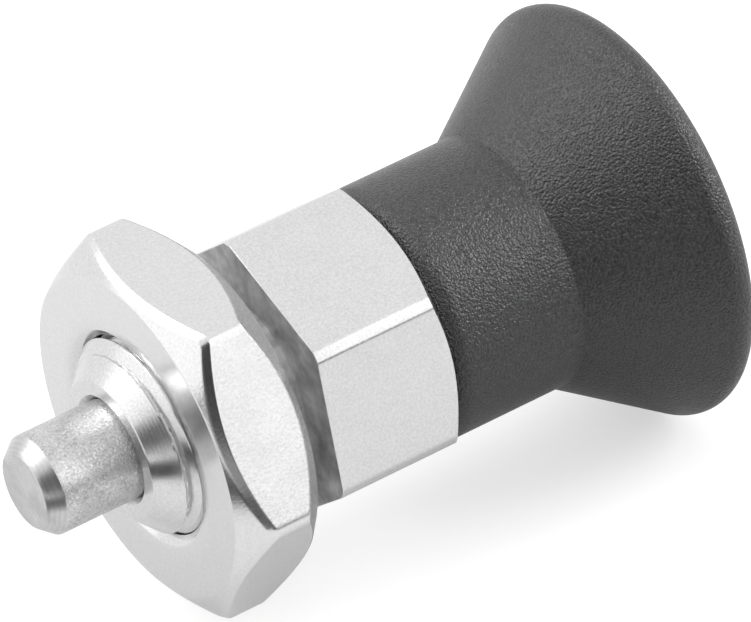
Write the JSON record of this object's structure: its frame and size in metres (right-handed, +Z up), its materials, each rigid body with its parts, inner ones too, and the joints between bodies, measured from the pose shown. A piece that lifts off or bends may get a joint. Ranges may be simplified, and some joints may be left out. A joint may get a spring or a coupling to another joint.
{
  "type": "indexing plunger",
  "caption": "Spring-loaded indexing plunger with a threaded shank, hexagonal collar, thin lock nut, round chamfered locking pin and flared pull knob.",
  "frame": {"origin": "centre of the collar's front face, where the plunger seats on the wall it is screwed into", "axes": "+X along the plunger's axis from the seat towards the knob, with the pin pointing along -X; +Z up through a corner of the hexagonal collar"},
  "size_m": [0.0342, 0.021, 0.021],
  "materials": {
    "plated_steel": "zinc-plated turned steel, satin",
    "bright_nut": "bright zinc-plated steel, smooth",
    "pin_steel": "hardened and ground steel",
    "spring_steel": "drawn spring wire",
    "bush_steel": "turned steel",
    "black_plastic": "matt thermoplastic with a fine spark-eroded grain"
  },
  "bodies": {
    "housing": {"body": "plated_steel", "guide_bush": "bush_steel"},
    "nut": {"lock_nut": "bright_nut"},
    "coil": {"spring": "spring_steel"},
    "plunger": {"locking_pin": "pin_steel", "knob": "black_plastic"}
  },
  "joints": [
    {"name": "nut_turn", "type": "hinge", "parent": "housing", "child": "nut", "pos_m": [0, 0, 0], "axis": [1, 0, 0], "continuous": true},
    {"name": "knob_turn", "type": "hinge", "parent": "housing", "child": "coil", "pos_m": [0, 0, 0], "axis": [1, 0, 0], "continuous": true},
    {"name": "pin_slide", "type": "slide", "parent": "coil", "child": "plunger", "axis": [1, 0, 0], "range_m": [0, 0.005], "stiffness_N_per_m": 1300, "springref_m": -0.004, "deforming": ["spring"]}
  ]
}
